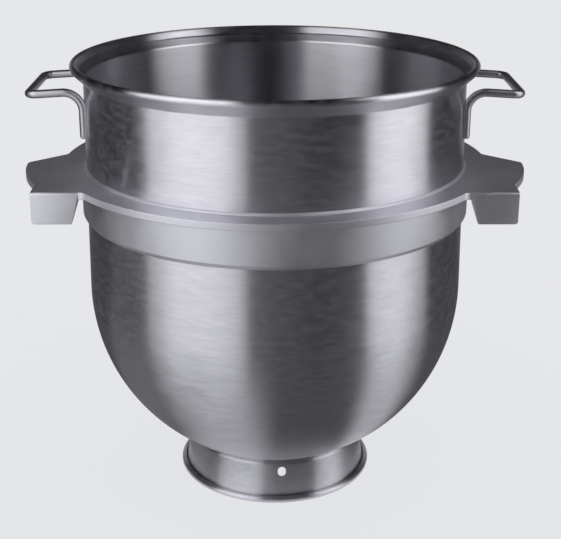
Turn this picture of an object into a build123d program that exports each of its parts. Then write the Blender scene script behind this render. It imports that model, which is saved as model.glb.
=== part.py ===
from build123d import *
from math import atan2, copysign, cos, radians, sin, sqrt, tan
import os

os.makedirs("parts", exist_ok=True)

# Stainless steel bowl of a large planetary mixer, about 40 litres.
# Millimetres, +Z up. The origin is on the bowl's axis, on the bench that the
# foot stands on. -Y is the front, where the two bent tabs face.

# Bowl shell, spun from one sheet. It is drawn as five rings that meet edge to
# edge, so that each ring keeps the hollow inside it.
bowl_sheet = 1.8
base_angle = 44.0          # degrees of the dish's arc in its first ring, from the axis
belt_angle = 23.4          # degrees of the arc in its second ring
dish_radius = 192.0        # outside of the half sphere
dish_clearance = 22.0      # lowest point of the dish above the bench
wall_lean = 0.7            # degrees that the wall leans in on its way up
rim_top = 446.0

# Flared rim, its edge rolled back over the flare. Radii on the outer face.
flare_turn = 47.0          # degrees that the flare leans out
flare_bend = 1.5
flare_run = 15.0
roll_round = 3.5
roll_turn = 200.0          # degrees that the edge turns back
roll_run = 6.0             # straight stretch at the sheet's edge

# Collar plate with its ears and bent tabs
plate_drop = 104.0         # from the rim's top down to the plate's
plate_thick = 7.0
plate_width = 24.5         # from the wall out to the ring's edge
weld_leg = 2.2
seam_leg = 2.5             # of the weld under the plate, outside the band
ear_reach = 34.6           # from the ring's edge out to the ear's
ear_front = 120.4          # from the axis to the face of the tabs
ear_blend = 10.0           # inside corner between ring and ear
ear_corner = 6.0
ear_rear_root = 19.2       # where the rear edge meets the ring, behind the axis
ear_rear_slant = 43.0      # degrees that the rear edge sweeps forward
notch_back = 27.0          # from the tab's face back to the notch beside it
notch_round = 1.5
tab_setback = 21.7         # from the ear's outer edge in to the tab's side
tab_width = 44.5           # at the plate
tab_taper = 8.0            # that the inner side closes in on its way down
tab_drop = 31.2            # from the plate's top to the tab's lower edge
tab_corner = 3.0
bend_outer = 3.5
bend_inner = 2.0

# Collar band under the plate
band_thick = 5.2
band_height = 43.2
band_bevel = 4.2
band_bevel_depth = 3.2

# Handles, bent round rod
rod = 8.0
handle_half_width = 48.5
handle_drop = 27.4         # from the rim's top down to the middle of the grip bar
arm_length = 52.7          # from the middle of a leg out to that of the grip bar
arm_rise = 3.3             # that an arm climbs from the grip bar to its leg
leg_length = 46.5          # from a leg's end up to the middle of its arm
leg_bend = 18.0
grip_bend = 9.0
leg_flat = 2.2             # that a leg's inner side is cut away to fit the wall
leg_end_round = 2.5

# Foot ring, a flared skirt with a curled edge
foot_sheet = 1.4
foot_radius = 102.6
curl_radius = 3.4
curl_lap = 20.0            # degrees that the curl runs on past its top
skirt_turn = 10.0          # degrees that the flare turns from top to curl
skirt_lean = 2.0           # degrees that it still leans in at its top
skirt_curve = 212.0        # radius of the flare
shoulder = 4.5
shoulder_turn = 46.0
shoulder_lip = 12.0        # runs into the dish, and is cut to its form
vent_width = 8.4
vent_length = 10.8
vent_height = 32.5
vent_angle = 4.4           # degrees to the right of the front

# Sizes that follow
equator = dish_clearance + dish_radius
wall_start = Vector(
    dish_radius * cos(radians(wall_lean)),
    equator + dish_radius * sin(radians(wall_lean)),
)


def wall_radius(height):
    # outside of the leaning wall at a height
    return wall_start.X - (height - wall_start.Y) * tan(radians(wall_lean))


flared, leaned = radians(flare_turn), radians(wall_lean)
rim_height = (
    flare_bend * (sin(flared) + sin(leaned))
    + flare_run * cos(flared)
    + roll_round * (1 + sin(flared))
)
wall_end = rim_top - rim_height
wall_length = (wall_end - wall_start.Y) / cos(leaned)
plate_top = rim_top - plate_drop
plate_bottom = plate_top - plate_thick
plate_radius = wall_radius(plate_top) + plate_width
ear_radius = plate_radius + ear_reach
tab_outer = ear_radius - tab_setback
tab_inner_top = tab_outer - tab_width
tab_inner_bottom = tab_inner_top + tab_taper
tab_bottom = plate_top - tab_drop
band_radius = wall_radius(plate_bottom) + band_thick
band_bottom = plate_bottom - band_height
band_inner = dish_radius - band_bevel - band_bevel_depth


def sheet_line(start, heading, steps, shift):
    # One face of a bent sheet. A step is a length and no turn, or a radius and
    # a turn in degrees. The line lies to the left of the steps by shift.
    place = Vector(*start) + Vector(0, shift).rotate(Axis.Z, heading)
    for size, turn in steps:
        direction = Vector(1, 0).rotate(Axis.Z, heading)
        if turn:
            run = JernArc(place, direction, size - shift * copysign(1, turn), turn)
        else:
            run = PolarLine(place, size, direction=direction)
        place = run @ 1
        heading += turn
    return place


def sheet_section(start, heading, steps, thickness):
    # both faces of a bent sheet and its two edges, and where the first face ends
    near = sheet_line(start, heading, steps, 0)
    far = sheet_line(start, heading, steps, thickness)
    Line(near, far)
    Line(start, Vector(*start) + Vector(0, thickness).rotate(Axis.Z, heading))
    return near


# Bowl shell: its outer face from the axis up to the rolled edge, thickened inwards
shell_steps = {
    "bowl_base": [(dish_radius, base_angle)],
    "bowl_lower": [(dish_radius, belt_angle)],
    "bowl_upper": [(dish_radius, 90 + wall_lean - base_angle - belt_angle)],
    "bowl_wall": [(wall_length, 0)],
    "bowl_rim": [
        (flare_bend, -flare_turn - wall_lean),
        (flare_run, 0),
        (roll_round, roll_turn),
        (roll_run, 0),
    ],
}
pieces = {}
ring_start = (0, dish_clearance)
ring_heading = 0
for name, steps in shell_steps.items():
    with BuildPart() as pieces[name]:
        with BuildSketch(Plane.XZ):
            with BuildLine():
                ring_start = sheet_section(ring_start, ring_heading, steps, bowl_sheet)
            make_face()
        revolve(axis=Axis.Z)
    ring_heading += sum(turn for size, turn in steps)

# The space that the bowl takes up, which the pieces welded to it are cut to
with BuildPart() as bowl_form:
    with BuildSketch(Plane.XZ):
        with BuildLine():
            form_dish = JernArc((0, dish_clearance), (1, 0), dish_radius, 90 + wall_lean)
            form_wall = PolarLine(form_dish @ 1, wall_length, direction=form_dish % 1)
            Polyline(form_wall @ 1, (0, wall_end), form_dish @ 0)
        make_face()
    revolve(axis=Axis.Z)

# Collar plate: the ring and the right ear, mirrored, then the tabs and the weld
slant = radians(ear_rear_slant)
root = Vector(sqrt(plate_radius**2 - ear_rear_root**2), ear_rear_root)
along = root.X * cos(slant) - root.Y * sin(slant)
rear_run = sqrt(along**2 + ear_radius**2 - plate_radius**2) - along
rear_tip = root + Vector(cos(slant), -sin(slant)) * rear_run
notch = Vector(tab_outer, notch_back - ear_front)
arc_middle = (atan2(notch.Y, notch.X) + atan2(rear_tip.Y, rear_tip.X)) / 2

with BuildPart() as collar_plate:
    with BuildSketch(Plane.XY.offset(plate_bottom)) as plate_outline:
        with BuildLine():
            Polyline(
                (0, root.Y),
                (0, -ear_front),
                (tab_outer, -ear_front),
                notch,
            )
            ThreePointArc(
                notch,
                (ear_radius * cos(arc_middle), ear_radius * sin(arc_middle)),
                rear_tip,
            )
            Polyline(rear_tip, root, (0, root.Y))
        make_face()
        corners = plate_outline.vertices()
        fillet(corners.sort_by_distance(rear_tip)[0], ear_corner)
        fillet(plate_outline.vertices().sort_by_distance(notch)[0], notch_round)
        mirror(about=Plane.YZ)
        Circle(plate_radius)
        front_corners = plate_outline.vertices().group_by(Axis.Y)[0]
        fillet(front_corners.sort_by(SortBy.DISTANCE)[:2], ear_blend)
    extrude(amount=plate_thick)
    with BuildSketch(Plane.XZ.offset(ear_front)) as tab_outline:
        Polygon(
            (tab_inner_top, plate_top),
            (tab_inner_top, plate_bottom),
            (tab_inner_bottom, tab_bottom),
            (tab_outer, tab_bottom),
            (tab_outer, plate_top),
            align=None,
        )
        lower_corners = tab_outline.vertices().group_by(Axis.Y)[0]
        fillet(lower_corners.sort_by(Axis.X)[-1], tab_corner)
        mirror(about=Plane.YZ)
    extrude(amount=-plate_thick)
    inner_bends = (
        collar_plate.edges()
        .filter_by(Axis.X)
        .filter_by_position(Axis.Y, plate_thick - ear_front, plate_thick - ear_front)
        .filter_by_position(Axis.Z, plate_bottom, plate_bottom)
    )
    fillet(inner_bends, bend_inner)
    # the rounded outside of each bend
    for bend_start in (tab_inner_top, -tab_outer):
        with BuildSketch(Plane.YZ.offset(bend_start)):
            with Locations((-ear_front, plate_top)):
                Rectangle(bend_outer, bend_outer, align=(Align.MIN, Align.MAX))
            with Locations((bend_outer - ear_front, plate_top - bend_outer)):
                Circle(bend_outer, mode=Mode.SUBTRACT)
        extrude(amount=tab_outer - tab_inner_top, mode=Mode.SUBTRACT)
    # the weld under the plate, where the band meets it
    with BuildSketch(Plane.XZ):
        Polygon(
            (band_radius, plate_bottom),
            (band_radius + seam_leg, plate_bottom),
            (band_radius, plate_bottom - seam_leg),
            align=None,
        )
    revolve(axis=Axis.Z)
    # the weld on top, which reaches into the wall's space and is cut back with the ring
    with BuildSketch(Plane.XZ):
        weld_root = wall_radius(plate_top)
        weld_top = plate_top + weld_leg
        Polygon(
            (weld_root - weld_leg, plate_top),
            (weld_root + weld_leg, plate_top),
            (wall_radius(weld_top), weld_top),
            (weld_root - weld_leg, weld_top),
            align=None,
        )
    revolve(axis=Axis.Z)
    add(bowl_form.part, mode=Mode.SUBTRACT)

# Collar band: a strip round the wall, its lower edge bevelled down to it
with BuildPart() as collar_band:
    with BuildSketch(Plane.XZ):
        Polygon(
            (band_inner, plate_bottom),
            (band_radius, plate_bottom),
            (band_radius, band_bottom + band_bevel),
            (band_radius - band_bevel_depth, band_bottom),
            (band_inner, band_bottom),
            align=None,
        )
    revolve(axis=Axis.Z)
    add(bowl_form.part, mode=Mode.SUBTRACT)

# Handles: two upright legs on the wall, two arms out and a grip bar
grip_height = rim_top - handle_drop
leg_top = grip_height + arm_rise
leg_bottom = leg_top - leg_length
leg_radius = wall_radius(leg_bottom) + rod / 2 - leg_flat
leg_x = sqrt(leg_radius**2 - handle_half_width**2)
handle_reach = leg_x + arm_length

with BuildPart() as handle_right:
    with BuildLine() as rod_line:
        FilletPolyline(
            (leg_x, -handle_half_width, leg_bottom),
            (leg_x, -handle_half_width, leg_top),
            (handle_reach, -handle_half_width, grip_height),
            (handle_reach, handle_half_width, grip_height),
            (leg_x, handle_half_width, leg_top),
            (leg_x, handle_half_width, leg_bottom),
            radius=[leg_bend, grip_bend, grip_bend, leg_bend],
        )
    with BuildSketch(Plane.XY.offset(leg_bottom)):
        with Locations((leg_x, -handle_half_width)):
            Circle(rod / 2)
    sweep()
    fillet(handle_right.edges().group_by(Axis.Z)[0], leg_end_round)
    add(bowl_form.part, mode=Mode.SUBTRACT)

with BuildPart() as handle_left:
    mirror(handle_right.part, about=Plane.YZ)

# Foot ring: from the curl's free edge round to the skirt, up its flare, over
# the shoulder and against the dish
curl_middle = foot_radius - curl_radius
curl_start = radians(90 + curl_lap)
foot_steps = [
    (curl_radius, skirt_turn + skirt_lean - 270 - curl_lap),
    (skirt_curve, -skirt_turn),
    (shoulder - foot_sheet, shoulder_turn),
    (shoulder_lip, 0),
]
with BuildPart() as foot_ring:
    with BuildSketch(Plane.XZ):
        with BuildLine():
            sheet_section(
                (
                    curl_middle + curl_radius * cos(curl_start),
                    curl_radius + curl_radius * sin(curl_start),
                ),
                curl_lap,
                foot_steps,
                -foot_sheet,
            )
        make_face()
    revolve(axis=Axis.Z)
    add(bowl_form.part, mode=Mode.SUBTRACT)
    vent_plane = Plane(
        origin=(0, 0, vent_height),
        x_dir=(cos(radians(vent_angle)), sin(radians(vent_angle)), 0),
        z_dir=(sin(radians(vent_angle)), -cos(radians(vent_angle)), 0),
    )
    with BuildSketch(vent_plane):
        SlotOverall(vent_length, vent_width, rotation=90)
    extrude(amount=foot_radius, mode=Mode.SUBTRACT)

pieces |= {
    "collar_plate": collar_plate,
    "collar_band": collar_band,
    "handle_left": handle_left,
    "handle_right": handle_right,
    "foot_ring": foot_ring,
}
for name, piece in pieces.items():
    piece.part.label = name
    export_step(piece.part, f"parts/{name}.step")
    print(name, "solids", len(piece.part.solids()), "volume", round(piece.part.volume))
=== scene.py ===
import bmesh
import bpy
import numpy as np
from math import atan2, ceil, cos, pi, radians, sin, sqrt, tan
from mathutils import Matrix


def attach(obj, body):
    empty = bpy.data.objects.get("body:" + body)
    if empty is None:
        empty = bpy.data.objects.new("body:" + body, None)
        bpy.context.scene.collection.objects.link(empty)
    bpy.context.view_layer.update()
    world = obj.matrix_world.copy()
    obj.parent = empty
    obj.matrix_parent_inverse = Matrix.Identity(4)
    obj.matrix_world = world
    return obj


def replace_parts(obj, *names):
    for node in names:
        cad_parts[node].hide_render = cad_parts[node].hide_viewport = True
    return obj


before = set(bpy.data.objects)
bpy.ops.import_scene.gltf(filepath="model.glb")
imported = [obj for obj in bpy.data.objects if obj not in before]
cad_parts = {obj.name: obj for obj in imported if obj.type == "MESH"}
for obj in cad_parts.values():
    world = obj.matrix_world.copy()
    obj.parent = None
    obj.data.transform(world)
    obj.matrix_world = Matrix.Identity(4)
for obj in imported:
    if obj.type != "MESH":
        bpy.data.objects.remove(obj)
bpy.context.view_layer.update()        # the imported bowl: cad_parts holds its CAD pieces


# Camera and image, metres and degrees, found from the rim's, collar's and foot's ellipses
view = {
    "imageWidth": 561,
    "focalPixels": 1221.5,
    "distance": 1.2077,          # in front of the bowl's axis
    "height": 0.6690,
    "pitch": 19.86,              # looking down
    "leftOfCentre": 5.6,         # pixels from the axis to the image's middle
    "aboveCentre": 10.2,
    "sensor": 36.0,
    "clipEnd": 60.0,
}


def makeCamera():
    data = bpy.data.cameras.new("photoCamera")
    data.sensor_width = view["sensor"]
    data.lens = view["focalPixels"] * view["sensor"] / view["imageWidth"]
    data.clip_end = view["clipEnd"]
    camera = bpy.data.objects.new("photoCamera", data)
    bpy.context.scene.collection.objects.link(camera)
    data.shift_x = view["leftOfCentre"] / view["imageWidth"]
    data.shift_y = -view["aboveCentre"] / view["imageWidth"]
    camera.location = (0, -view["distance"], view["height"])
    camera.rotation_euler = (radians(90 - view["pitch"]), 0, 0)
    bpy.context.scene.camera = camera


makeCamera()

# Node helpers, each with the node tree first
noiseSpan = (0.3, 0.7)       # most of a noise lies between these values


def newMaterial(name):
    material = bpy.data.materials.new(name)
    material.use_nodes = True
    tree = material.node_tree
    tree.nodes.clear()
    output = tree.nodes.new("ShaderNodeOutputMaterial")
    return material, tree, output


def mathNode(tree, operation, *values):
    node = tree.nodes.new("ShaderNodeMath")
    node.operation = operation
    for index, value in enumerate(values):
        if isinstance(value, (int, float)):
            node.inputs[index].default_value = value
        else:
            tree.links.new(value, node.inputs[index])
    return node.outputs[0]


def mapRange(tree, value, fromLow, fromHigh, toLow, toHigh, smooth=False):
    node = tree.nodes.new("ShaderNodeMapRange")
    node.interpolation_type = "SMOOTHSTEP" if smooth else "LINEAR"
    tree.links.new(value, node.inputs["Value"])
    ends = {"From Min": fromLow, "From Max": fromHigh, "To Min": toLow, "To Max": toHigh}
    for name, number in ends.items():
        node.inputs[name].default_value = number
    return node.outputs["Result"]


def spread(tree, pattern, low, high):
    return mapRange(tree, pattern, *noiseSpan, low, high)


def blend(tree, first, second, share):
    # that share of the first, and the rest of the second
    rest = mathNode(tree, "MULTIPLY", second, 1 - share)
    return mathNode(tree, "MULTIPLY_ADD", first, share, rest)


def noise(tree, vector, scale=1.0, detail=2.0, roughness=0.5):
    node = tree.nodes.new("ShaderNodeTexNoise")
    node.inputs["Scale"].default_value = scale
    node.inputs["Detail"].default_value = detail
    node.inputs["Roughness"].default_value = roughness
    tree.links.new(vector, node.inputs["Vector"])
    return node.outputs["Fac"]


def objectPlace(tree):
    return tree.nodes.new("ShaderNodeTexCoord").outputs["Object"]


def splitVector(tree, vector):
    parts = tree.nodes.new("ShaderNodeSeparateXYZ")
    tree.links.new(vector, parts.inputs[0])
    return parts.outputs


def ringCoordinates(tree, around, across, slope):
    # a vector that changes slowly round the Z axis and fast along the profile, so that
    # noise on it draws spinning marks: (x/r * around, y/r * around, (z + slope r) * across)
    x, y, z = splitVector(tree, objectPlace(tree))
    squares = [mathNode(tree, "MULTIPLY", side, side) for side in (x, y)]
    squared = mathNode(tree, "ADD", *squares)
    # the small addition keeps the radius above 0 on the axis
    radius = mathNode(tree, "SQRT", mathNode(tree, "ADD", squared, 1e-8))
    along = mathNode(tree, "MULTIPLY_ADD", radius, slope, z)
    joined = tree.nodes.new("ShaderNodeCombineXYZ")
    for index, side in enumerate((x, y)):
        share = mathNode(tree, "DIVIDE", side, radius)
        tree.links.new(mathNode(tree, "MULTIPLY", share, around), joined.inputs[index])
    tree.links.new(mathNode(tree, "MULTIPLY", along, across), joined.inputs[2])
    return joined.outputs[0]


def mixColours(tree, factor, low, high):
    ramp = tree.nodes.new("ShaderNodeValToRGB")
    ramp.color_ramp.elements[0].color = (*low, 1)
    ramp.color_ramp.elements[1].color = (*high, 1)
    tree.links.new(factor, ramp.inputs["Fac"])
    return ramp.outputs["Color"]


def addBump(tree, shader, height, strength, distance):
    bump = tree.nodes.new("ShaderNodeBump")
    bump.inputs["Strength"].default_value = strength
    bump.inputs["Distance"].default_value = distance
    tree.links.new(height, bump.inputs["Height"])
    tree.links.new(bump.outputs[0], shader.inputs["Normal"])


def newSteel(tree):
    shader = tree.nodes.new("ShaderNodeBsdfPrincipled")
    shader.inputs["Metallic"].default_value = 1.0
    return shader


def mixShaders(tree, factor, first, second, output):
    mixed = tree.nodes.new("ShaderNodeMixShader")
    tree.links.new(factor, mixed.inputs["Fac"])
    tree.links.new(first.outputs[0], mixed.inputs[1])
    tree.links.new(second.outputs[0], mixed.inputs[2])
    tree.links.new(mixed.outputs[0], output.inputs["Surface"])


# Spun steel: brushed round the axis, so reflections smear up and down
spunLook = {
    "darker": (0.60, 0.596, 0.645),
    "lighter": (0.75, 0.745, 0.806),
    "roughness": (0.285, 0.365),    # below about 0.274 the denoiser leaves small dashes
    "anisotropy": 1.0,
    "brushTurn": 0.25,              # of a turn, from the tangent round the axis
    "fineMarks": (10.0, 620.0),     # scale round the axis, and along the profile
    "broadMarks": (6.0, 210.0),
    "fineShare": 0.5,
    "slope": 0.7,                   # that the radius adds to the height along the profile
    "marksRoughness": 0.6,          # of the noise that draws them
    "bump": 0.04,
    "bumpDepth": 0.0002,
    "smears": (15.0, 210.0),
    "smearSpan": (0.40, 0.64),      # noise values between which the haze comes in
    "haze": 0.12,
    "hazeRoughness": 0.8,
}

# The bowl's inside: the same steel, smoother and with fewer smears; its colour is painted lighter,
# painted light that brightens the inside
paintedLightInsideLook = {
    **spunLook,
    "darker": (0.72, 0.716, 0.76),
    "lighter": (0.82, 0.815, 0.86),
    "roughness": (0.285, 0.325),
    "fineMarks": (8.0, 620.0),
    "broadMarks": (3.0, 210.0),
    "bump": 0.03,
    "smears": (11.0, 130.0),
    "haze": 0.015,
}


def ringNoise(tree, look, marks, detail):
    field = ringCoordinates(tree, *look[marks], look["slope"])
    return noise(tree, field, detail=detail, roughness=look["marksRoughness"])


def makeSpunSteel(name, look):
    material, tree, output = newMaterial(name)
    shader = newSteel(tree)
    shader.inputs["Anisotropic"].default_value = look["anisotropy"]
    shader.inputs["Anisotropic Rotation"].default_value = look["brushTurn"]
    tangent = tree.nodes.new("ShaderNodeTangent")
    tangent.direction_type = "RADIAL"
    tangent.axis = "Z"
    tree.links.new(tangent.outputs[0], shader.inputs["Tangent"])
    fine = ringNoise(tree, look, "fineMarks", 3.0)
    broad = ringNoise(tree, look, "broadMarks", 4.0)
    smears = ringNoise(tree, look, "smears", 4.0)
    marks = blend(tree, fine, broad, look["fineShare"])
    colour = mixColours(tree, spread(tree, marks, 0.0, 1.0), look["darker"], look["lighter"])
    tree.links.new(colour, shader.inputs["Base Color"])
    tree.links.new(spread(tree, broad, *look["roughness"]), shader.inputs["Roughness"])
    addBump(tree, shader, fine, look["bump"], look["bumpDepth"])
    # smears and small scratches scatter a little light from all sides
    dull = newSteel(tree)
    dull.inputs["Roughness"].default_value = look["hazeRoughness"]
    tree.links.new(colour, dull.inputs["Base Color"])
    haze = mapRange(tree, smears, *look["smearSpan"], 0.0, look["haze"])
    mixShaders(tree, haze, shader, dull, output)
    return material


# Blasted steel of the collar's band: an even fine grain with faint clouds
blastedLook = {
    "darker": (0.69, 0.69, 0.745),
    "lighter": (0.79, 0.79, 0.85),
    "roughness": (0.44, 0.52),
    "grain": 1400.0,
    "grainShare": 0.35,
    "clouds": 26.0,
    "cloudsDetail": 4.0,
    "cloudsRoughness": 0.6,
    "bump": 0.2,
    "bumpDepth": 0.0003,
}

# The collar's plate: a slightly coarser and duller blasting
plateLook = {
    **blastedLook,
    "roughness": (0.46, 0.54),
    "grain": 1100.0,
    "clouds": 22.0,
}

# Rod of the handles: darker, drawn satin
rodLook = {
    **blastedLook,
    "darker": (0.44, 0.44, 0.475),
    "lighter": (0.58, 0.58, 0.625),
    "roughness": (0.34, 0.42),
    "grain": 900.0,
    "clouds": 60.0,
    "bump": 0.05,
}


def makeGrainySteel(name, look):
    material, tree, output = newMaterial(name)
    shader = newSteel(tree)
    tree.links.new(shader.outputs[0], output.inputs["Surface"])
    place = objectPlace(tree)
    grain = noise(tree, place, look["grain"])
    clouds = noise(tree, place, look["clouds"], look["cloudsDetail"], look["cloudsRoughness"])
    marks = blend(tree, grain, clouds, look["grainShare"])
    colour = mixColours(tree, spread(tree, marks, 0.0, 1.0), look["darker"], look["lighter"])
    tree.links.new(colour, shader.inputs["Base Color"])
    tree.links.new(spread(tree, clouds, *look["roughness"]), shader.inputs["Roughness"])
    addBump(tree, shader, grain, look["bump"], look["bumpDepth"])
    return material


spunSteel = makeSpunSteel("spunSteel", spunLook)
# the inside's copy of the steel, its colour painted lighter: painted light
paintedLightInsideSteel = makeSpunSteel("paintedLightInsideSteel", paintedLightInsideLook)
blastedSteel = makeGrainySteel("blastedSteel", blastedLook)
plateSteel = makeGrainySteel("plateSteel", plateLook)
rodSteel = makeGrainySteel("rodSteel", rodLook)
print("materials made")

# Mesh helpers
meshing = {
    "sharp": 35.0,              # degrees between two faces from which their edge stays sharp
    "smallRadius": 0.05,        # up to this radius an arc takes the small arc's step
    "smallArcStep": 7.5,        # degrees
    "fewestSteps": 4,
    "hold": 0.0006,             # from an edge to the row of points that keeps the face beside it flat
}
quarterTurn = np.radians(np.linspace(0, 90, 5))


def newPiece(name, vertices, faces, material, slotName):
    mesh = bpy.data.meshes.new(name)
    mesh.from_pydata(vertices.tolist(), [], faces)
    turned = bmesh.new()
    turned.from_mesh(mesh)
    bmesh.ops.recalc_face_normals(turned, faces=turned.faces)
    turned.to_mesh(mesh)
    turned.free()
    mesh.polygons.foreach_set("use_smooth", np.ones(len(mesh.polygons), bool))
    mesh.set_sharp_from_angle(angle=radians(meshing["sharp"]))
    mesh.materials.append(material)
    piece = bpy.data.objects.new(name, mesh)
    bpy.context.scene.collection.objects.link(piece)
    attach(piece, "root")
    return piece


def arcSteps(centre, radius, fromAngle, toAngle, count):
    # points on an arc, angles in degrees: centre + radius (cos a, sin a)
    a = np.radians(np.linspace(fromAngle, toAngle, count + 1))
    return np.stack([centre[0] + radius * np.cos(a), centre[1] + radius * np.sin(a)], axis=1)


def sheetLine(start, heading, steps, shift, arcStep):
    # one face of a bent sheet as points (r, z): a step is (length, 0) for a straight run, or
    # (radius, turn) for an arc; the face lies to the left of the steps by shift.
    # On an arc that turns to side s: at + R (d sin t + s n (1 - cos t))
    m = meshing
    angle = radians(heading)
    at = np.array(start, float) + shift * np.array([-sin(angle), cos(angle)])
    points = [at[None]]
    for size, turn in steps:
        direction = np.array([cos(angle), sin(angle)])
        left = np.array([-direction[1], direction[0]])
        if turn:
            side = 1 if turn > 0 else -1
            radius = size - shift * side
            each = arcStep if radius > m["smallRadius"] else m["smallArcStep"]
            count = max(m["fewestSteps"], ceil(abs(turn) / each))
            t = np.linspace(0, radians(abs(turn)), count + 1)[1:, None]
            run = at + radius * (direction * np.sin(t) + side * left * (1 - np.cos(t)))
            angle += radians(turn)
        else:
            edge = min(m["hold"], size / 4)
            places = np.array([edge, *np.linspace(0, size, 5)[1:-1], size - edge, size])
            run = at + direction * places[:, None]
        points.append(run)
        at = run[-1]
    return np.vstack(points)


def ringGrid(loop, segments):
    # (r, z) turned round Z: vertex (i, j) is (r_j cos a_i, r_j sin a_i, z_j)
    a = np.linspace(0, 2 * pi, segments, endpoint=False)
    grid = np.empty((segments, len(loop), 3))
    grid[:, :, 0] = np.cos(a)[:, None] * loop[:, 0]
    grid[:, :, 1] = np.sin(a)[:, None] * loop[:, 0]
    grid[:, :, 2] = loop[:, 1]
    return grid


def gridFaces(segments, rows, closeRows, closeSegments=True):
    # quads between neighbours of a grid; the rows and the segments may close on themselves
    index = np.arange(segments * rows).reshape(segments, rows)
    if closeSegments:
        index = np.vstack([index, index[:1]])
    if closeRows:
        index = np.hstack([index, index[:, :1]])
    quads = np.stack([index[:-1, :-1], index[1:, :-1], index[1:, 1:], index[:-1, 1:]], axis=-1)
    return quads.reshape(-1, 4).tolist()


def spinOpen(line, segments):
    # a line of (r, z) whose two ends lie on the axis; each end becomes one vertex
    grid = ringGrid(line[1:-1], segments)
    rows = grid.shape[1]
    vertices = np.vstack([grid.reshape(-1, 3), [[0, 0, line[0, 1]]], [[0, 0, line[-1, 1]]]])
    faces = gridFaces(segments, rows, False)
    first = np.arange(segments) * rows
    after = np.roll(first, -1)
    pole = segments * rows
    for a, b in zip(first.tolist(), after.tolist()):
        faces.append([pole, b, a])
        faces.append([pole + 1, a + rows - 1, b + rows - 1])
    return vertices, faces


def spinClosed(loop, segments):
    grid = ringGrid(loop, segments)
    return grid.reshape(-1, 3), gridFaces(segments, len(loop), True)


# Bowl: one spun sheet with a flared rim, its edge rolled back over the flare
bowl = {
    "sheet": 0.0018,
    "dishRadius": 0.192,
    "dishClearance": 0.022,
    "wallLean": 0.7,
    "rimTop": 0.446,
    "flareTurn": 47.0,
    "flareBend": 0.0015,
    "flareRun": 0.015,
    "rollRound": 0.0035,
    "rollTurn": 200.0,
    "rollRun": 0.006,
    "insideTilt": 0.3,           # a face of the wall or rim that points up more isn't the inside's
    "segments": 256,
    "arcStep": 2.0,              # degrees
}


def wallStart():
    # height at which the half sphere passes into the leaning wall
    return bowl["dishClearance"] + bowl["dishRadius"] * (1 + sin(radians(bowl["wallLean"])))


def wallRadius(height):
    lean = radians(bowl["wallLean"])
    return bowl["dishRadius"] * cos(lean) - (height - wallStart()) * tan(lean)


def makeBowl():
    b = bowl
    lean, flared = radians(b["wallLean"]), radians(b["flareTurn"])
    rimHeight = (b["flareBend"] * (sin(flared) + sin(lean)) + b["flareRun"] * cos(flared)
                 + b["rollRound"] * (1 + sin(flared)))
    wallEnd = b["rimTop"] - rimHeight
    steps = [
        (b["dishRadius"], 90 + b["wallLean"]),
        ((wallEnd - wallStart()) / cos(lean), 0),
        (b["flareBend"], -b["flareTurn"] - b["wallLean"]),
        (b["flareRun"], 0),
        (b["rollRound"], b["rollTurn"]),
        (b["rollRun"], 0),
    ]
    start = (0, b["dishClearance"])
    outer = sheetLine(start, 0, steps, 0, b["arcStep"])
    inner = sheetLine(start, 0, steps, b["sheet"], b["arcStep"])
    vertices, faces = spinOpen(np.vstack([outer, inner[::-1]]), b["segments"])
    piece = newPiece("bowlShell", vertices, faces, spunSteel, "bowl_steel")
    # the inside faces take the copy of the steel painted lighter: painted light
    piece.data.materials.append(paintedLightInsideSteel)
    for face in piece.data.polygons:
        # the inside faces the axis, or up at the bottom
        facing = face.normal.x * face.center.x + face.normal.y * face.center.y
        low = face.center.z < b["dishClearance"] + b["dishRadius"]
        face.material_index = int(facing < 0 and (low or face.normal.z < b["insideTilt"]))
    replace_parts(piece, "bowl_base", "bowl_lower", "bowl_upper", "bowl_wall", "bowl_rim")


makeBowl()
print("bowl made")

# Collar: the ring with its ears, the bent tabs, the welds and the band
collar = {
    "plateTop": 0.342,
    "plateThick": 0.007,
    "plateWidth": 0.0245,
    "weldLeg": 0.0022,
    "weldBulge": 0.56,           # of the leg, to the middle of the weld's face; flat is 0.5
    "seamLeg": 0.0025,
    "seamSink": 0.0002,          # that the seam's lower edge reaches into the band
    "earReach": 0.0346,
    "earFront": 0.1204,
    "earBlend": 0.010,
    "earCorner": 0.006,
    "rearRoot": 0.0192,
    "rearSlant": 43.0,
    "notchBack": 0.027,
    "notchRound": 0.0015,
    "notchRoom": 2.5,            # of its round, kept free of the ear arc's points
    "cornerRoom": 1.1,
    "tabSetback": 0.0217,
    "tabTaper": 0.008,
    "tabDrop": 0.0312,
    "tabCorner": 0.003,
    "bendOuter": 0.0035,
    "bendInner": 0.002,
    "bendHold": 0.0004,          # from the bend to the row that keeps the plate's top flat
    "bendClear": 1.5,            # of the inner bend, from the tab's back to where its piece begins
    "edgeRound": 0.0006,
    "hiddenRound": 0.00001,      # of the plate's edge inside the tab's piece
    "bandThick": 0.0052,
    "bandHeight": 0.0432,
    "bandBevel": 0.0042,
    "bandBevelDepth": 0.0032,
    "bandLowRound": 0.0007,
    "bandBevelRound": 0.0022,
    "segments": 256,
    "sink": 0.0009,              # how far the hidden sides reach into the wall's sheet
}
# heights above a tab's lower edge at which it has rows, closer together at its rounds
tabRows = np.array([0.008, 0.004, 0.0031, 0.0024, 0.0017, 0.0011, 0.0006, 0.0003, 0.0])


def arcThrough(first, middle, last, count):
    # the centre is as far from the first point as from the other two:
    # 2 (p - first) . c = |p|2 - |first|2
    sides = 2 * np.array([middle - first, last - first])
    centre = np.linalg.solve(sides, np.array([middle @ middle, last @ last]) - first @ first)
    fromAngle, toAngle = [np.degrees(atan2(*(p - centre)[::-1])) for p in (first, last)]
    return arcSteps(centre, np.linalg.norm(first - centre), fromAngle, toAngle, count)


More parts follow.
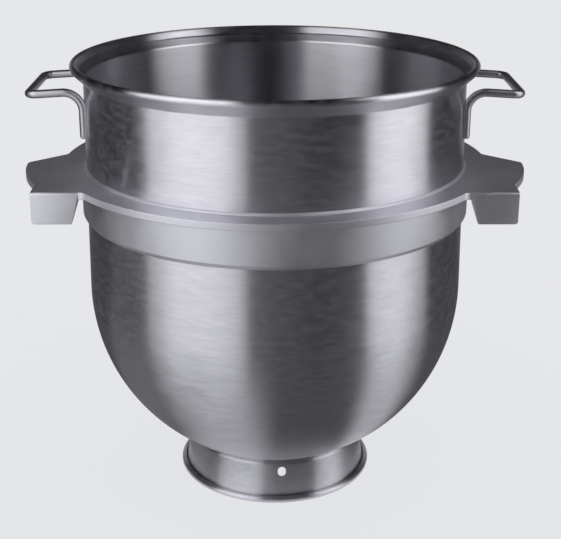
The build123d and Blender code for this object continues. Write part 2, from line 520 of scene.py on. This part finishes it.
def roundCorner(before, corner, after, radius, count):
    # an arc of that radius in the corner of two straight sides
    toBefore, toAfter = before - corner, after - corner
    toBefore, toAfter = toBefore / np.linalg.norm(toBefore), toAfter / np.linalg.norm(toAfter)
    half = np.arccos(np.clip(toBefore @ toAfter, -1, 1)) / 2
    middle = toBefore + toAfter
    centre = corner + middle / np.linalg.norm(middle) * radius / sin(half)
    first, last = corner + toBefore * radius / tan(half), corner + toAfter * radius / tan(half)
    a, b = first - centre, last - centre
    share = np.linspace(0, 1, count + 1)[:, None]
    between = np.arccos(np.clip(a @ b / radius**2, -1, 1))
    return centre + (a * np.sin((1 - share) * between) + b * np.sin(share * between)) / sin(between)


def tabRoot():
    # y at which the plate's piece ends and the tab's begins
    c = collar
    return -c["earFront"] + c["plateThick"] + c["bendClear"] * c["bendInner"]


def plateOutline():
    # right half of the plate's outline from above, from the front round to the back; where the
    # tab is bent down, the outline stops behind the bend, because the tab's piece carries it
    c = collar
    ring = wallRadius(c["plateTop"]) + c["plateWidth"]
    ear = ring + c["earReach"]
    side = ear - c["tabSetback"]
    front = -c["earFront"]
    # the blend between ring and front edge: its centre is clear of both by its radius
    blend = c["earBlend"]
    middleY = front - blend
    middleX = sqrt((ring + blend)**2 - middleY**2)
    touch = np.array([middleX, middleY]) * ring / (ring + blend)
    ringStart = np.degrees(atan2(touch[1], touch[0]))
    frontArc = arcSteps((0, 0), ring, -90, ringStart, count=48)
    blendFrom = np.degrees(atan2(-middleY, -middleX))
    blendArc = arcSteps((middleX, middleY), blend, blendFrom, 90, count=8)
    slant = radians(c["rearSlant"])
    root = np.array([sqrt(ring**2 - c["rearRoot"]**2), c["rearRoot"]])
    along = root[0] * cos(slant) - root[1] * sin(slant)
    run = sqrt(along**2 + ear**2 - ring**2) - along
    tip = root + np.array([cos(slant), -sin(slant)]) * run
    notch = np.array([side, front + c["notchBack"]])
    middleAngle = (atan2(tip[1], tip[0]) + atan2(notch[1], notch[0])) / 2
    earMiddle = ear * np.array([cos(middleAngle), sin(middleAngle)])
    earArc = arcThrough(notch, earMiddle, tip, count=40)
    notchCorner = roundCorner(np.array([side, front]), notch, earArc[1], c["notchRound"], count=4)
    tipCorner = roundCorner(earArc[-2], tip, root, c["earCorner"], count=8)
    offNotch = np.linalg.norm(earArc - notch, axis=1) > c["notchRoom"] * c["notchRound"]
    offTip = np.linalg.norm(earArc - tip, axis=1) > c["cornerRoom"] * c["earCorner"]
    earArc = earArc[offNotch & offTip]
    rootAngle = np.degrees(atan2(root[1], root[0]))
    backArc = arcSteps((0, 0), ring, rootAngle, 90, count=64)
    tabLine = [[middleX, tabRoot()], [side, tabRoot()]]
    return np.vstack([frontArc, blendArc[1:], tabLine, notchCorner, earArc, tipCorner, backArc])


def closeMirrored(points):
    # the half from front to back, then its mirror image from back to front
    mirrored = points[-2:0:-1] * np.array([-1, 1])
    return np.vstack([points, mirrored])


def makePlate():
    # rows of points from the weld's top edge over the plate's top, round its edge and back
    # under it; row positions are r (cos a, sin a), or the outline moved inwards along its normal
    c = collar
    outline = closeMirrored(plateOutline())
    before, after = np.roll(outline, 1, axis=0), np.roll(outline, -1, axis=0)
    first, second = outline - before, after - outline
    first /= np.linalg.norm(first, axis=1)[:, None]
    second /= np.linalg.norm(second, axis=1)[:, None]
    along = first + second
    along /= np.linalg.norm(along, axis=1)[:, None]
    normal = np.stack([along[:, 1], -along[:, 0]], axis=1)
    radial = outline / np.linalg.norm(outline, axis=1)[:, None]
    top, bottom = c["plateTop"], c["plateTop"] - c["plateThick"]
    onTab = np.isclose(outline[:, 1], tabRoot(), rtol=0, atol=1e-6)
    edge = np.where(onTab, c["hiddenRound"], c["edgeRound"])[:, None]
    hold = np.where(onTab, c["hiddenRound"], meshing["hold"])[:, None]
    seamRadius = wallRadius(bottom) + c["bandThick"]
    weldTop = top + c["weldLeg"]
    weldToe = wallRadius(top) + c["weldLeg"]
    weldFace = c["weldBulge"] * c["weldLeg"]
    seamToe = seamRadius + c["seamLeg"]

    def ringRow(radius, height):
        return np.hstack([radial * radius, np.full((len(outline), 1), height)])

    def edgeRow(inset, heightInset, fromTop):
        height = top - heightInset if fromTop else bottom + heightInset
        return np.hstack([outline - normal * inset, height])

    rows = [
        ringRow(wallRadius(weldTop) - c["sink"], weldTop),
        ringRow(wallRadius(weldTop), weldTop),
        ringRow(wallRadius(top) + weldFace, top + weldFace),
        ringRow(weldToe, top),
        ringRow(weldToe + meshing["hold"], top),
        edgeRow(edge + hold, 0 * edge, True),
    ]
    for angle in quarterTurn:
        rows.append(edgeRow(edge * (1 - sin(angle)), edge * (1 - cos(angle)), True))
    rows += [edgeRow(0 * edge, edge + hold, True), edgeRow(0 * edge, edge + hold, False)]
    for angle in quarterTurn[::-1]:
        rows.append(edgeRow(edge * (1 - sin(angle)), edge * (1 - cos(angle)), False))
    rows += [
        edgeRow(edge + hold, 0 * edge, False),
        ringRow(seamToe + meshing["hold"], bottom),
        ringRow(seamToe, bottom),
        ringRow(seamRadius - c["seamSink"], bottom - c["seamLeg"] - c["seamSink"]),
        ringRow(wallRadius(bottom) - c["sink"], bottom - c["seamLeg"]),
    ]
    grid = np.stack(rows, axis=1)
    faces = gridFaces(len(outline), len(rows), True)
    return grid.reshape(-1, 3), faces


def makeTab(side):
    # the plate's front strip, bent down: rings of a rounded rectangle between its outer
    # line and its inner line, x = a, (y, z) = outer + unit(inner - outer) * b
    c = collar
    top, bottom = c["plateTop"], c["plateTop"] - c["plateThick"]
    front, back = -c["earFront"], -c["earFront"] + c["plateThick"]
    low = top - c["tabDrop"]
    ring = wallRadius(top) + c["plateWidth"]
    outerX = ring + c["earReach"] - c["tabSetback"]
    innerX = sqrt((ring + c["earBlend"])**2 - (front - c["earBlend"])**2) - c["edgeRound"]

    def bentLine(y, height, bend):
        # one face of the bent strip, as (y, z): flat, round the bend and down to the lower edge
        return np.vstack([
            [[tabRoot(), height], [y + bend + c["bendHold"], height]],
            arcSteps((y + bend, height - bend), bend, 90, 180, count=8),
            np.stack([np.full(len(tabRows), y), low + tabRows], axis=1),
        ])

    outerLine = bentLine(front, top, c["bendOuter"])
    innerLine = bentLine(back, bottom, c["bendInner"])
    thick = np.linalg.norm(innerLine - outerLine, axis=1)
    unit = (innerLine - outerLine) / thick[:, None]
    height = np.minimum(outerLine[:, 1], innerLine[:, 1])
    fromX = innerX + c["tabTaper"] * np.clip((bottom - height) / (bottom - low), 0, 1)
    rise = np.clip(height - low, 0, c["tabCorner"])
    toX = outerX - c["tabCorner"] + np.sqrt(c["tabCorner"]**2 - (c["tabCorner"] - rise)**2)
    toX = np.where(height - low > c["tabCorner"], outerX, toX)
    e = c["edgeRound"]
    shrink = e - np.sqrt(np.clip(e**2 - (e - np.clip(height - low, 0, e))**2, 0, None))
    ringPoints = []
    corners = (
        (toX - e, e, -90),
        (toX - e, thick - e, 0),
        (fromX + e, thick - e, 90),
        (fromX + e, e, 180),
    )
    for centreA, centreB, turn in corners:
        for angle in quarterTurn + radians(turn):
            a = centreA + (e - shrink) * cos(angle)
            b = centreB + (e - shrink) * sin(angle)
            y, z = (outerLine + unit * np.reshape(b, (-1, 1))).T
            ringPoints.append(np.stack([a * side, y, z], axis=1))
    grid = np.stack(ringPoints, axis=1)
    stations, count = grid.shape[:2]
    faces = gridFaces(stations, count, True, closeSegments=False)
    faces += [list(range(count)), list(range((stations - 1) * count, stations * count))]
    return grid.reshape(-1, 3), faces


def joinParts(parts):
    vertices, faces, offset = [], [], 0
    for partVertices, partFaces in parts:
        vertices.append(partVertices)
        faces += [[v + offset for v in face] for face in partFaces]
        offset += len(partVertices)
    return np.vstack(vertices), faces


def roundedLoop(corners, radii, count=5):
    corners = [np.array(p, float) for p in corners]
    runs = []
    for i, (corner, radius) in enumerate(zip(corners, radii)):
        following = corners[(i + 1) % len(corners)]
        rounded = roundCorner(corners[i - 1], corner, following, radius, count) if radius else corner
        runs.append(rounded)
    return np.vstack(runs)


def makeCollar():
    c = collar
    vertices, faces = joinParts([makePlate(), makeTab(1), makeTab(-1)])
    plate = newPiece("collarPlate", vertices, faces, plateSteel, "collar_steel")
    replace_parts(plate, "collar_plate")
    bandTop = c["plateTop"] - c["plateThick"]
    bandBottom = bandTop - c["bandHeight"]
    outerRadius = wallRadius(bandTop) + c["bandThick"]
    innerRadius = wallRadius(bandTop) - c["sink"]
    loop = roundedLoop(
        [
            (innerRadius, bandBottom),
            (outerRadius - c["bandBevelDepth"], bandBottom),
            (outerRadius, bandBottom + c["bandBevel"]),
            (outerRadius, bandTop),
            (innerRadius, bandTop),
        ],
        [0, c["bandLowRound"], c["bandBevelRound"], 0, 0],
    )
    band = newPiece("collarBand", *spinClosed(loop, c["segments"]), blastedSteel, "collar_steel")
    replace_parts(band, "collar_band")


makeCollar()
print("collar made")

# Handles: round rod, bent up from the wall, out and across
handle = {
    "rod": 0.008,
    "halfWidth": 0.0485,
    "drop": 0.0274,
    "armLength": 0.0527,
    "armRise": 0.0033,
    "legLength": 0.0465,
    "legBend": 0.018,
    "gripBend": 0.009,
    "legFlat": 0.0022,
    "sink": 0.0009,              # how far the flat of a leg reaches into the wall's sheet
    "endRound": 0.0025,
    "around": 40,
    "bendSteps": 22,
    "endSteps": 7,
}


def bentPath(points, radii):
    # straight runs joined by tangent arcs
    points = [np.array(p, float) for p in points]
    runs = [points[0][None]]
    for before, corner, after, radius in zip(points, points[1:], points[2:], radii):
        runs.append(roundCorner(before, corner, after, radius, handle["bendSteps"]))
    runs.append(points[-1][None])
    return np.vstack(runs)


def sweepRod(path):
    # circles square to the path; each one's first direction is the last one's, made square
    # to the new tangent; at the two ends the circles shrink over a quarter round
    radius, endRound = handle["rod"] / 2, handle["endRound"]
    around, ends = handle["around"], handle["endSteps"]
    tangent = np.gradient(path, axis=0)
    tangent[0], tangent[-1] = path[1] - path[0], path[-1] - path[-2]
    tangent /= np.linalg.norm(tangent, axis=1)[:, None]
    t = np.radians(np.linspace(0, 90, ends))
    shrunk = radius - endRound + endRound * np.sin(t)
    depth = endRound * (1 - np.cos(t))
    startPlaces = path[0] + tangent[0] * depth[:, None]
    endPlaces = (path[-1] - tangent[-1] * depth[:, None])[::-1]
    places = np.vstack([startPlaces, path[1:-1], endPlaces])
    startTangents, endTangents = np.repeat(tangent[:1], ends, 0), np.repeat(tangent[-1:], ends, 0)
    tangents = np.vstack([startTangents, tangent[1:-1], endTangents])
    radii = np.concatenate([shrunk, np.full(len(path) - 2, radius), shrunk[::-1]])
    a = np.linspace(0, 2 * pi, around, endpoint=False)
    direction = np.array([0.0, 1.0, 0.0])
    rings = []
    for place, along, size in zip(places, tangents, radii):
        direction = direction - along * (direction @ along)
        direction /= np.linalg.norm(direction)
        other = np.cross(along, direction)
        rings.append(place + size * (np.cos(a)[:, None] * direction + np.sin(a)[:, None] * other))
    count = len(rings)
    faces = gridFaces(count, around, True, closeSegments=False)
    vertices = np.vstack([*rings, path[:1], path[-1:]])
    first, last = count * around, (count - 1) * around
    for i in range(around):
        following = (i + 1) % around
        faces.append([first, following, i])
        faces.append([first + 1, last + i, last + following])
    return vertices, faces


def makeHandle(name, side, node):
    h = handle
    grip = bowl["rimTop"] - h["drop"]
    legTop = grip + h["armRise"]
    legEnd = legTop - h["legLength"]
    legRadius = wallRadius(legEnd) + h["rod"] / 2 - h["legFlat"]
    legX = sqrt(legRadius**2 - h["halfWidth"]**2)
    reach = legX + h["armLength"]
    halfPath = [(legX, legEnd), (legX, legTop), (reach, grip)]
    corners = [(x, -h["halfWidth"], z) for x, z in halfPath]
    corners += [(x, h["halfWidth"], z) for x, z in halfPath[::-1]]
    path = bentPath(corners, [h["legBend"], h["gripBend"], h["gripBend"], h["legBend"]])
    path[:, 0] *= side
    vertices, faces = sweepRod(path)
    # the legs' inner sides are flat to the wall: r is at least the wall's less the sink
    radius = np.hypot(vertices[:, 0], vertices[:, 1])
    flat = np.maximum(1, (wallRadius(vertices[:, 2]) - h["sink"]) / radius)
    vertices[:, :2] *= flat[:, None]
    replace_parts(newPiece(name, vertices, faces, rodSteel, "handle_steel"), node)


makeHandle("handleRight", 1, "handle_right")
makeHandle("handleLeft", -1, "handle_left")
print("handles made")

# Foot ring: flared skirt with a curled edge and one vent hole
foot = {
    "sheet": 0.0014,
    "radius": 0.1026,
    "curlRadius": 0.0034,
    "curlLap": 20.0,
    "skirtTurn": 10.0,
    "skirtLean": 2.0,
    "skirtCurve": 0.212,
    "shoulder": 0.0045,
    "shoulderTurn": 46.0,
    "ventWidth": 0.0084,
    "ventLength": 0.0108,
    "ventHeight": 0.0325,
    "ventAngle": 4.4,
    "ventSegments": 48,
    "ventCut": (0.06, 0.12),     # from and to radius of the cutter
    "segments": 256,
    "arcStep": 1.0,              # degrees
}


def footLine(shift):
    # one face of the sheet, from the curl's free edge up to the middle of the dish's sheet
    f = foot
    steps = [
        (f["curlRadius"], f["skirtTurn"] + f["skirtLean"] - 270 - f["curlLap"]),
        (f["skirtCurve"], -f["skirtTurn"]),
        (f["shoulder"] - f["sheet"], f["shoulderTurn"]),
    ]
    a = radians(90 + f["curlLap"])
    middle = f["radius"] - f["curlRadius"]
    start = (middle + f["curlRadius"] * cos(a), f["curlRadius"] * (1 + sin(a)))
    line = sheetLine(start, f["curlLap"], steps, shift, f["arcStep"])
    heading = radians(f["curlLap"] + sum(step[1] for step in steps))
    direction = np.array([cos(heading), sin(heading)])
    fromCentre = line[-1] - np.array([0, bowl["dishClearance"] + bowl["dishRadius"]])
    goal = bowl["dishRadius"] - bowl["sheet"] / 2
    half = direction @ fromCentre
    length = -half - sqrt(half**2 - fromCentre @ fromCentre + goal**2)
    return np.vstack([line, line[-1] + direction * length])


def makeFoot():
    f = foot
    loop = np.vstack([footLine(0), footLine(-f["sheet"])[::-1]])
    piece = newPiece("footRing", *spinClosed(loop, f["segments"]), spunSteel, "foot_steel")
    a = radians(f["ventAngle"])
    outward, across = np.array([sin(a), -cos(a), 0]), np.array([cos(a), sin(a), 0])
    count = f["ventSegments"]
    t = np.linspace(0, 2 * pi, count, endpoint=False)[:, None]
    slot = f["ventWidth"] / 2 * (np.cos(t) * across + np.sin(t) * np.array([0, 0, 1]))
    slot[:, 2] += np.sign(np.sin(t[:, 0])) * (f["ventLength"] - f["ventWidth"]) / 2 + f["ventHeight"]
    cutterVertices = np.vstack([slot + outward * radius for radius in f["ventCut"]])
    cutterFaces = gridFaces(2, count, True, closeSegments=False)
    cutterFaces += [list(range(count)), list(range(count, 2 * count))]
    cutter = newPiece("ventCutter", cutterVertices, cutterFaces, spunSteel, "foot_steel")
    cut = piece.modifiers.new("vent", "BOOLEAN")
    cut.operation = "DIFFERENCE"
    cut.solver = "EXACT"
    cut.object = cutter
    cutPiece = piece.evaluated_get(bpy.context.evaluated_depsgraph_get())
    done = bpy.data.meshes.new_from_object(cutPiece)
    piece.modifiers.clear()
    piece.data = done
    bpy.data.objects.remove(cutter)
    piece.data.set_sharp_from_angle(angle=radians(meshing["sharp"]))
    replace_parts(piece, "foot_ring")


makeFoot()
print("foot made")

# Studio: pale floor and backdrop, and round the bowl a dark curtain with soft lights in it,
# a dark ceiling, and on the floor dim sheets of cloth with windows that only the metal sees: painted
# shade that darkens the floor in its reflections


def light(fromAngle, toAngle, fades, strengths, late=1.0):
    # a light or window between two angles, in degrees from the front towards +X; the fades
    # and the strengths are those at its two sides, and late holds the second one back
    return {"from": fromAngle, "to": toAngle, "fades": fades, "strengths": strengths, "late": late}


studio = {
    "pale": (0.791, 0.799, 0.815),
    "worldLight": (1.0, 1.0, 1.0),
    "floorShadow": 0.08,        # share of the floor's brightness that takes the shadow
    "floorHalf": 9.0,
    "paperClouds": 5.0,
    "paperSpread": 0.003,       # share by which the paper's tone varies to both sides
    "curtainClouds": 3.0,
    "clothWeave": 40.0,
    "toneSpread": 0.1,          # the same of the curtain and the cloths
    "segments": 96,
    "radius": 1.0,
    "levels": (0.0, 0.55, 1.7),     # heights of the low curtain's two edges and of the ceiling
    "lowLights": (
        light(-73.5, -13.0, fades=(3.0, 3.0), strengths=(0.74, 0.74)),
        light(-72.0, -13.0, fades=(20.0, 24.0), strengths=(0.44, 0.44)),
        light(-15.0, 26.0, fades=(2.0, 20.0), strengths=(0.14, 0.01)),
        light(47.5, 94.0, fades=(3.0, 5.0), strengths=(0.74, 0.74)),
        light(48.0, 93.0, fades=(22.0, 20.0), strengths=(0.50, 0.50)),
    ),
    "highLights": (
        light(-80.0, -21.0, fades=(3.0, 2.0), strengths=(1.9, 1.6)),
        light(52.0, 96.0, fades=(2.0, 8.0), strengths=(1.6, 2.0)),
    ),
    "lowBackLight": {"from": 128.0, "fade": 30.0, "strength": 0.34},    # the same on both sides
    "highBackLight": {"from": 163.0, "fade": 5.0, "strength": 0.02},
    "lowTone": 0.056,
    "highTone": 0.008,
    "ceilingHole": 0.80,        # radius of its dark middle
    "ceilingPin": 0.001,        # radius left open at the axis
    "shadeClothHeight": 0.0005,
    # painted shade: sheets of cloth on the floor that darken it in the metal's reflections
    "shadeCloths": {
        "near": {
            "radii": (0.12, 0.40),
            "tone": 0.10,
            "windows": (
                light(-72.0, 4.0, fades=(44.0, 20.0), strengths=(0.50, 0.50)),
                light(40.0, 92.0, fades=(14.0, 30.0), strengths=(0.55, 0.6)),
                light(-112.0, -62.0, fades=(10.0, 16.0), strengths=(0.15, 0.15)),
            ),
        },
        "far": {
            "radii": (0.40, 1.0),
            "tone": 0.09,
            "windows": (
                light(-71.0, -10.0, fades=(20.0, 10.0), strengths=(0.95, 0.72), late=2.0),
                light(47.0, 88.0, fades=(9.0, 24.0), strengths=(0.7, 0.95)),
                light(-112.0, -62.0, fades=(10.0, 16.0), strengths=(0.15, 0.15)),
            ),
        },
    },
}


def azimuthNode(tree, place):
    # degrees from the camera's side towards +X
    x, y = splitVector(tree, place)[:2]
    angle = mathNode(tree, "ARCTAN2", x, mathNode(tree, "MULTIPLY", y, -1.0))
    return mathNode(tree, "MULTIPLY", angle, 180 / pi)


def unevenTone(tree, place, scale, tone):
    off = studio["toneSpread"]
    return spread(tree, noise(tree, place, scale), tone * (1 - off), tone * (1 + off))


def lightShape(tree, angle, values):
    start, end = values["from"], values["to"]
    startFade, endFade = values["fades"]
    first, second = values["strengths"]
    rising = mapRange(tree, angle, start, start + startFade, 0.0, 1.0, smooth=True)
    falling = mapRange(tree, angle, end - endFade, end, 1.0, 0.0, smooth=True)
    along = mapRange(tree, angle, start, end, 0.0, 1.0)
    changed = mathNode(tree, "POWER", along, values["late"])
    strength = mathNode(tree, "MULTIPLY_ADD", changed, second - first, first)
    shape = mathNode(tree, "MULTIPLY", rising, falling)
    return mathNode(tree, "MULTIPLY", shape, strength)


def makeCurtainMaterial(name, lights, backLight, tone):
    material, tree, output = newMaterial(name)
    glow = tree.nodes.new("ShaderNodeEmission")
    place = objectPlace(tree)
    angle = azimuthNode(tree, place)
    total = unevenTone(tree, place, studio["curtainClouds"], tone)
    for values in lights:
        total = mathNode(tree, "ADD", total, lightShape(tree, angle, values))
    start, end = backLight["from"], backLight["from"] + backLight["fade"]
    aside = mathNode(tree, "ABSOLUTE", angle)
    back = mapRange(tree, aside, start, end, 0.0, backLight["strength"], smooth=True)
    tree.links.new(mathNode(tree, "ADD", total, back), glow.inputs["Strength"])
    tree.links.new(glow.outputs[0], output.inputs["Surface"])
    return material


def makeClothMaterial(name, tone, windows=()):
    # a dim cloth; on the floor it is painted shade in the metal's reflections, and a window's
    # strength is the share of the paper that shows through it
    material, tree, output = newMaterial(name)
    cloth = tree.nodes.new("ShaderNodeEmission")
    place = objectPlace(tree)
    tree.links.new(unevenTone(tree, place, studio["clothWeave"], tone), cloth.inputs["Strength"])
    if not windows:
        tree.links.new(cloth.outputs[0], output.inputs["Surface"])
        return material
    angle = azimuthNode(tree, place)
    share, *others = [lightShape(tree, angle, values) for values in windows]
    for other in others:
        share = mathNode(tree, "ADD", share, other)
    clear = tree.nodes.new("ShaderNodeBsdfTransparent")
    mixShaders(tree, share, cloth, clear, output)
    return material


def seenDirectly(tree):
    # 1 for what the camera sees, also in metal and through glass
    rays = tree.nodes.new("ShaderNodeLightPath")
    seen = mathNode(tree, "MAXIMUM", rays.outputs["Is Camera Ray"], rays.outputs["Is Glossy Ray"])
    return mathNode(tree, "MAXIMUM", seen, rays.outputs["Is Transmission Ray"])


def makeFloorMaterial():
    # pale paper: most of its brightness shows as it is to the camera and in the metal,
    # and the rest is lit and takes the bowl's shadow
    material, tree, output = newMaterial("palePaper")
    paper = spread(tree, noise(tree, objectPlace(tree), studio["paperClouds"]), 0.0, 1.0)
    tones = (1 - studio["paperSpread"], 1 + studio["paperSpread"])
    darker, lighter = [[channel * tone for channel in studio["pale"]] for tone in tones]
    colour = mixColours(tree, paper, darker, lighter)
    lit = tree.nodes.new("ShaderNodeBsdfDiffuse")
    glow = tree.nodes.new("ShaderNodeEmission")
    for shader in (lit, glow):
        tree.links.new(colour, shader.inputs["Color"])
    seen = seenDirectly(tree)
    tree.links.new(seen, glow.inputs["Strength"])
    share = mathNode(tree, "MULTIPLY", seen, 1 - studio["floorShadow"])
    mixShaders(tree, share, lit, glow, output)
    return material


def makeWorld():
    world = bpy.data.worlds.new("paleStudio")
    world.use_nodes = True
    tree = world.node_tree
    tree.nodes.clear()
    output = tree.nodes.new("ShaderNodeOutputWorld")
    background = tree.nodes.new("ShaderNodeBackground")
    colour = mixColours(tree, seenDirectly(tree), studio["worldLight"], studio["pale"])
    tree.links.new(colour, background.inputs["Color"])
    tree.links.new(background.outputs[0], output.inputs["Surface"])
    bpy.context.scene.world = world


def stageMesh(name, vertices, faces, material, seen=False):
    mesh = bpy.data.meshes.new(name)
    mesh.from_pydata(vertices.tolist(), [], faces)
    mesh.materials.append(material)
    card = bpy.data.objects.new(name, mesh)
    bpy.context.scene.collection.objects.link(card)
    card.visible_camera = seen
    card.visible_diffuse = seen
    card.visible_shadow = seen


def stageRing(name, start, end, material):
    # a strip round the axis from one point (r, z) to another
    count = studio["segments"]
    grid = ringGrid(np.array([start, end]), count)
    stageMesh(name, grid.reshape(-1, 3), gridFaces(count, 2, False), material)


def makeStudio():
    s = studio
    makeWorld()
    h = s["floorHalf"]
    square = np.array([[-h, -h, 0], [h, -h, 0], [h, h, 0], [-h, h, 0]])
    stageMesh("floor", square, [[0, 1, 2, 3]], makeFloorMaterial(), seen=True)
    low, middle, high = s["levels"]
    radius, hole = s["radius"], s["ceilingHole"]
    lowGlow = makeCurtainMaterial("lowGlow", s["lowLights"], s["lowBackLight"], s["lowTone"])
    stageRing("lowCurtain", (radius, low), (radius, middle), lowGlow)
    highGlow = makeCurtainMaterial("highGlow", s["highLights"], s["highBackLight"], s["highTone"])
    stageRing("highCurtain", (radius, middle), (radius, high), highGlow)
    stageRing("ceiling", (hole, high), (radius, high), highGlow)
    weave = makeClothMaterial("ceilingWeave", s["highTone"])
    stageRing("ceilingMiddle", (s["ceilingPin"], high), (hole, high), weave)
    # the floor's sheets of cloth: painted shade, seen only in the metal
    for name, cloth in s["shadeCloths"].items():
        weave = makeClothMaterial(name + "Weave", cloth["tone"], cloth["windows"])
        start, end = [(edge, s["shadeClothHeight"]) for edge in cloth["radii"]]
        stageRing(name + "Cloth", start, end, weave)


makeStudio()
bpy.context.scene.view_settings.view_transform = "Standard"
print("studio made")
